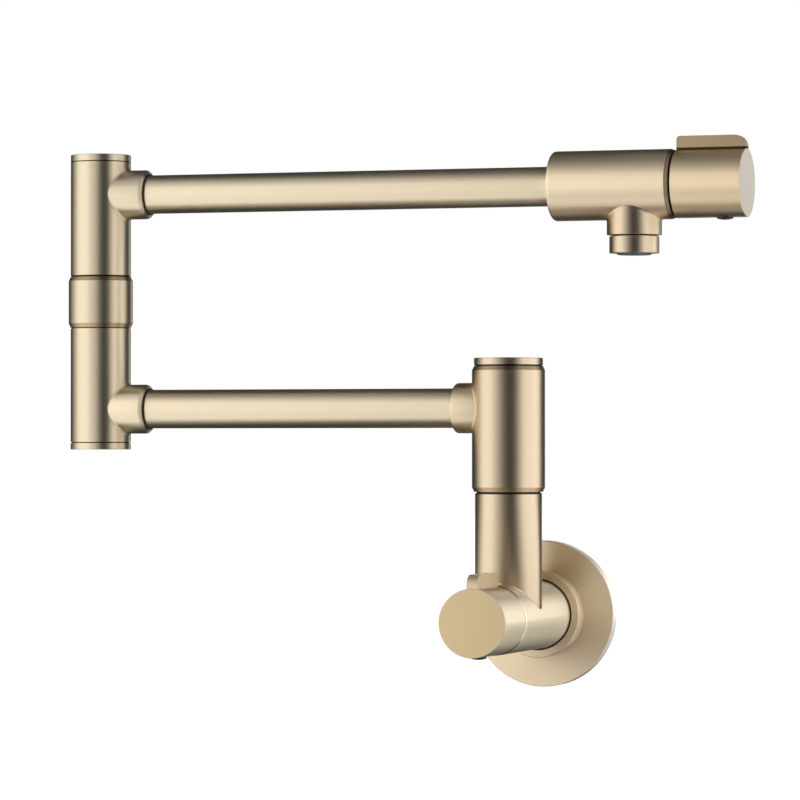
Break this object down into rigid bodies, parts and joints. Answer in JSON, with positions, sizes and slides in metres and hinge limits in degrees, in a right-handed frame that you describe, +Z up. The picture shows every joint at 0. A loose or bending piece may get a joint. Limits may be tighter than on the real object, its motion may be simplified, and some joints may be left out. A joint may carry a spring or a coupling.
{
  "type": "wall mounted pot filler",
  "caption": "Folding wall tap for filling pots: round flange, valve with riser, jointed tube arms with swivel barrels, and a lever valve with an aerator at the spout.",
  "frame": {"origin": "centre of the wall flange's back face, on the wall and on the inlet's axis", "axes": "+Y goes into the wall, out of the inlet's mouth; +Z is up along the riser; +X is to the right seen from the room, along the folded arms, towards the spout's handle"},
  "size_m": [0.3745, 0.1383, 0.2891],
  "materials": {
    "brushed_gold": "champagne gold plating over brass, finely brushed round every barrel",
    "machined_brass": "turned, bare",
    "steel": "spring and screw steel",
    "seal_rubber": "moulded, black",
    "ptfe": "sheet, white",
    "black_plastic": "moulded, black",
    "alumina_ceramic": "lapped alumina",
    "aerator_plastic": "moulded, slate"
  },
  "bodies": {
    "wall_valve": {"wall_flange": "brushed_gold", "flange_gasket": "seal_rubber", "flange_o_ring": "seal_rubber", "main_valve_body": "brushed_gold", "main_cartridge_housing": "machined_brass", "main_cartridge_seal": "seal_rubber", "main_fixed_disc": "alumina_ceramic", "main_cartridge_nut": "machined_brass", "shoulder_spindle": "machined_brass", "shoulder_o_rings": "seal_rubber", "shoulder_thrust_washer": "seal_rubber", "shoulder_top_washer": "ptfe", "shoulder_retaining_ring": "steel"},
    "main_handle": {"main_handle_shell": "brushed_gold", "main_handle_lever": "brushed_gold", "main_handle_plug": "black_plastic", "main_set_screw": "steel", "main_stem": "machined_brass", "main_stem_o_ring": "seal_rubber", "main_moving_disc": "alumina_ceramic"},
    "lower_arm": {"shoulder_barrel": "brushed_gold", "shoulder_cap": "brushed_gold", "lower_arm_tube": "brushed_gold", "lower_tube_seal": "seal_rubber", "elbow_lower_barrel": "brushed_gold", "elbow_bottom_cap": "brushed_gold", "elbow_spindle": "machined_brass", "elbow_o_rings": "seal_rubber", "elbow_collar": "brushed_gold", "elbow_thrust_washer": "seal_rubber", "elbow_top_washer": "ptfe", "elbow_retaining_ring": "steel"},
    "upper_arm": {"elbow_upper_barrel": "brushed_gold", "elbow_top_cap": "brushed_gold", "upper_arm_tube": "brushed_gold", "upper_tube_seal": "seal_rubber", "spout_valve_body": "brushed_gold", "spout_cartridge_housing": "machined_brass", "spout_cartridge_seal": "seal_rubber", "spout_fixed_disc": "alumina_ceramic", "spout_cartridge_nut": "machined_brass", "aerator_washer": "seal_rubber", "aerator_housing": "brushed_gold", "aerator_insert": "aerator_plastic"},
    "spout_handle": {"spout_handle_shell": "brushed_gold", "spout_handle_lever": "brushed_gold", "spout_handle_plug": "black_plastic", "spout_set_screw": "steel", "spout_stem": "machined_brass", "spout_stem_o_ring": "seal_rubber", "spout_moving_disc": "alumina_ceramic"}
  },
  "joints": [
    {"name": "shoulder_swing", "type": "hinge", "parent": "wall_valve", "child": "lower_arm", "pos_m": [0, -0.072, 0.1099], "axis": [0, 0, 1], "range_deg": [-13, 193]},
    {"name": "elbow_swing", "type": "hinge", "parent": "lower_arm", "child": "upper_arm", "pos_m": [-0.2294, -0.072, 0.22525], "axis": [0, 0, 1], "continuous": true},
    {"name": "main_handle_turn", "type": "hinge", "parent": "wall_valve", "child": "main_handle", "pos_m": [0, -0.12, 0], "axis": [0, -1, 0], "range_deg": [0, 90]},
    {"name": "spout_handle_turn", "type": "hinge", "parent": "upper_arm", "child": "spout_handle", "pos_m": [0.11, -0.072, 0.22525], "axis": [1, 0, 0], "range_deg": [0, 90]}
  ]
}
